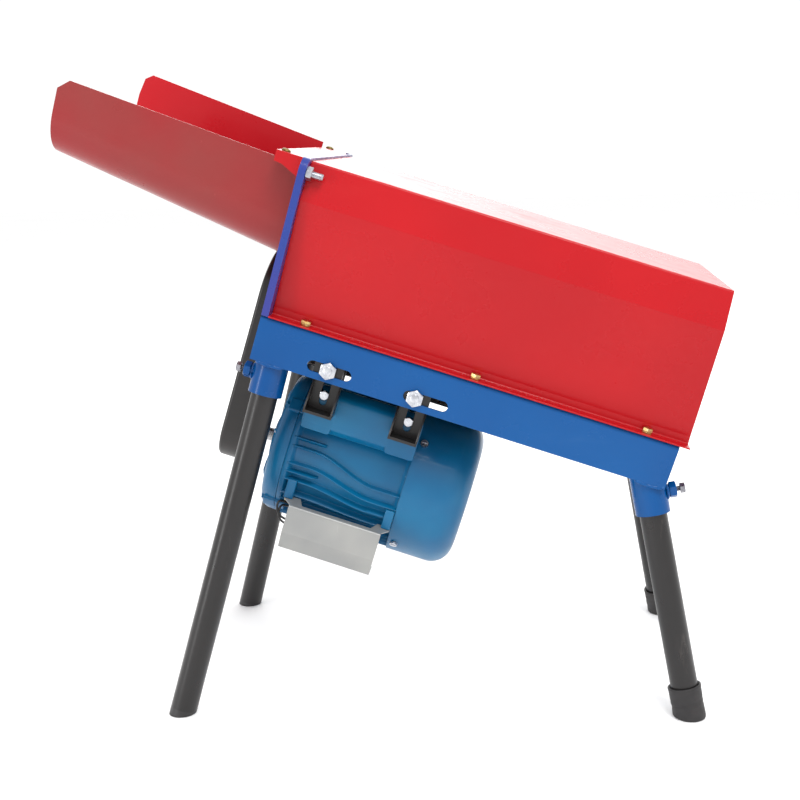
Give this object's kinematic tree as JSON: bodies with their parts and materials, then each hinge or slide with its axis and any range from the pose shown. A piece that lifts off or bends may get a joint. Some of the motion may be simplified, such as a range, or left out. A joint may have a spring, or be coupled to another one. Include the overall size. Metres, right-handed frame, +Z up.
{
  "type": "electric maize sheller",
  "caption": "Electric maize sheller: open feed trough, red hood over a pegged drum and slotted concave, belt drive from a motor slung under blue rails, on splayed tube legs.",
  "frame": {"origin": "on the floor, under the middle of the whole machine", "axes": "+X from the feed trough towards the cob outlet, +Y from the motor's capacitor side to the rear, +Z up"},
  "size_m": [0.7298, 0.3666, 0.7255],
  "materials": {
    "rail_blue": "gloss enamel over folded steel",
    "hood_red": "gloss enamel over sheet steel",
    "hopper_red": "gloss enamel over sheet steel",
    "motor_blue": "satin enamel over cast aluminium",
    "zinc_plated": "bright zinc plating",
    "yellow_zinc": "yellow passivated zinc",
    "clamp_zinc": "dull zinc",
    "leg_black": "satin black enamel",
    "boot_rubber": "moulded rubber",
    "plug_plastic": "moulded plastic",
    "guard_black": "semi-gloss black enamel",
    "belt_rubber": "cloth-wrapped rubber",
    "machined_steel": "turned",
    "pulley_iron": "turned cast iron",
    "drum_steel": "mill scale",
    "housing_iron": "painted cast iron",
    "lamination": "varnished laminations",
    "copper_winding": "varnished copper",
    "capacitor_sheet": "light grey enamel",
    "capacitor_plastic": "moulded plastic",
    "wire_black": "insulated wire",
    "fan_plastic": "moulded plastic",
    "gland_plastic": "moulded plastic"
  },
  "bodies": {
    "machine_body": {"bearing_bolts": "zinc_plated", "bearing_housings": "housing_iron", "belt_guard": "guard_black", "cable_gland": "gland_plastic", "capacitor_box": "capacitor_sheet", "capacitor_leads": "wire_black", "capacitor_screws": "yellow_zinc", "clamp_nuts": "rail_blue", "collar_bolts": "zinc_plated", "collar_screws": "yellow_zinc", "concave_screen": "drum_steel", "discharge_end_bar": "rail_blue", "drive_end_bell": "motor_blue", "drum_bearings": "machined_steel", "fan_cover": "motor_blue", "fan_cover_screws": "zinc_plated", "fan_end_bell": "motor_blue", "feed_end_plate": "rail_blue", "feed_hopper": "hopper_red", "front_side_rail": "rail_blue", "guard_back": "guard_black", "guard_screws": "zinc_plated", "guard_standoffs": "zinc_plated", "hood": "hood_red", "hood_screws": "yellow_zinc", "hopper_collar": "hood_red", "leg_sockets": "rail_blue", "motor_bearings": "machined_steel", "motor_brackets": "guard_black", "motor_foot_bolts": "zinc_plated", "motor_housing": "motor_blue", "motor_mount_bolts": "zinc_plated", "motor_tie_screws": "zinc_plated", "rear_side_rail": "rail_blue", "run_capacitor": "capacitor_plastic", "stator_core": "lamination", "stator_winding": "copper_winding", "v_belt": "belt_rubber"},
    "threshing_rotor": {"drum_shaft": "machined_steel", "drum_key": "machined_steel", "threshing_drum": "drum_steel", "drum_pegs": "drum_steel", "drum_pulley": "pulley_iron"},
    "motor_rotor": {"rotor_shaft": "machined_steel", "rotor_core": "lamination", "cooling_fan": "fan_plastic", "motor_pulley": "pulley_iron", "motor_key": "machined_steel"},
    "front_left_leg_body": {"front_left_leg": "leg_black", "front_left_plug": "plug_plastic"},
    "front_left_clamp_body": {"front_left_clamp_screw": "clamp_zinc"},
    "front_right_leg_body": {"front_right_leg": "leg_black", "front_right_boot": "boot_rubber"},
    "front_right_clamp_body": {"front_right_clamp_screw": "clamp_zinc"},
    "rear_left_leg_body": {"rear_left_leg": "leg_black", "rear_left_plug": "plug_plastic"},
    "rear_left_clamp_body": {"rear_left_clamp_screw": "clamp_zinc"},
    "rear_right_leg_body": {"rear_right_leg": "leg_black", "rear_right_boot": "boot_rubber"},
    "rear_right_clamp_body": {"rear_right_clamp_screw": "clamp_zinc"}
  },
  "joints": [
    {"name": "drum_spin", "type": "hinge", "parent": "machine_body", "child": "threshing_rotor", "pos_m": [-0.1342, 0, 0.454], "axis": [0.9483, 0, -0.3173], "continuous": true},
    {"name": "motor_spin", "type": "hinge", "parent": "machine_body", "child": "motor_rotor", "pos_m": [-0.1856, -0.02, 0.30037], "axis": [0.9483, 0, -0.3173], "continuous": true},
    {"name": "front_left_leg_slide", "type": "slide", "parent": "machine_body", "child": "front_left_leg_body", "axis": [-0.2823, -0.1086, -0.9531], "range_m": [0, 0.12]},
    {"name": "front_left_clamp_turn", "type": "hinge", "parent": "machine_body", "child": "front_left_clamp_body", "pos_m": [-0.15723, -0.12364, 0.39121], "axis": [-0.9593, 0.032, 0.2805], "range_deg": [0, 720]},
    {"name": "front_right_leg_slide", "type": "slide", "parent": "machine_body", "child": "front_right_leg_body", "axis": [0.1709, -0.1115, -0.979], "range_m": [0, 0.12]},
    {"name": "front_right_clamp_turn", "type": "hinge", "parent": "machine_body", "child": "front_right_clamp_body", "pos_m": [0.30642, -0.124, 0.25158], "axis": [0.9853, 0.0193, 0.1698], "range_deg": [0, 720]},
    {"name": "rear_left_leg_slide", "type": "slide", "parent": "machine_body", "child": "rear_left_leg_body", "axis": [-0.2823, 0.1086, -0.9531], "range_m": [0, 0.12]},
    {"name": "rear_left_clamp_turn", "type": "hinge", "parent": "machine_body", "child": "rear_left_clamp_body", "pos_m": [-0.15723, 0.12364, 0.39121], "axis": [-0.9593, -0.032, 0.2805], "range_deg": [0, 720]},
    {"name": "rear_right_leg_slide", "type": "slide", "parent": "machine_body", "child": "rear_right_leg_body", "axis": [0.1709, 0.1115, -0.979], "range_m": [0, 0.12]},
    {"name": "rear_right_clamp_turn", "type": "hinge", "parent": "machine_body", "child": "rear_right_clamp_body", "pos_m": [0.30642, 0.124, 0.25158], "axis": [0.9853, -0.0193, 0.1698], "range_deg": [0, 720]}
  ],
  "couplings": [
    {"joint": "motor_spin", "follows": "drum_spin", "ratio": 1.5}
  ]
}
